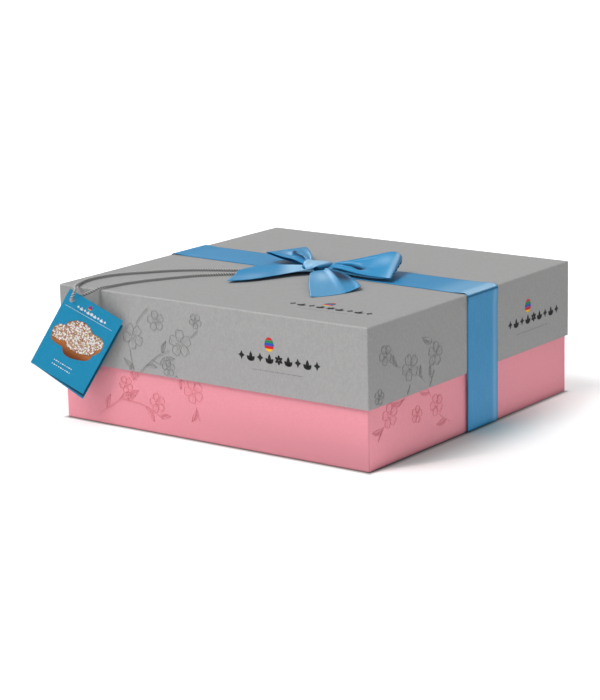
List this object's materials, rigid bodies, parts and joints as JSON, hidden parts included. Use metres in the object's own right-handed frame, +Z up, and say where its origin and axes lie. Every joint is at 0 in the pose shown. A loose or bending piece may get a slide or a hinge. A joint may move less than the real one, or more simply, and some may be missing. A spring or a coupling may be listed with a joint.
{
  "type": "shut easter loaf gift box with ribbon and tag",
  "caption": "Shut rectangular card gift box: a deep lid over a base, a satin ribbon tied in a bow, and a folded tag on a twisted cord.",
  "frame": {"origin": "middle of the underside, at the bottom centre of the box without its cord and tag", "axes": "+Z up, X along the long front side, which is at -Y"},
  "size_m": [0.3452, 0.3596, 0.1446],
  "materials": {
    "grey_board": "matt, with a fine paper grain",
    "pink_board": "matt",
    "blue_satin": "satin weave",
    "grey_cord": "twisted, two strands",
    "blue_card": "smooth, matt"
  },
  "bodies": {
    "root": {"box_base": "pink_board", "box_lid": "grey_board", "ribbon_band": "blue_satin", "bow_knot": "blue_satin", "bow_loop_left": "blue_satin", "bow_loop_right": "blue_satin", "bow_tail_front": "blue_satin", "bow_tail_left": "blue_satin", "tag_cord": "grey_cord", "tag_card": "blue_card"}
  },
  "joints": []
}
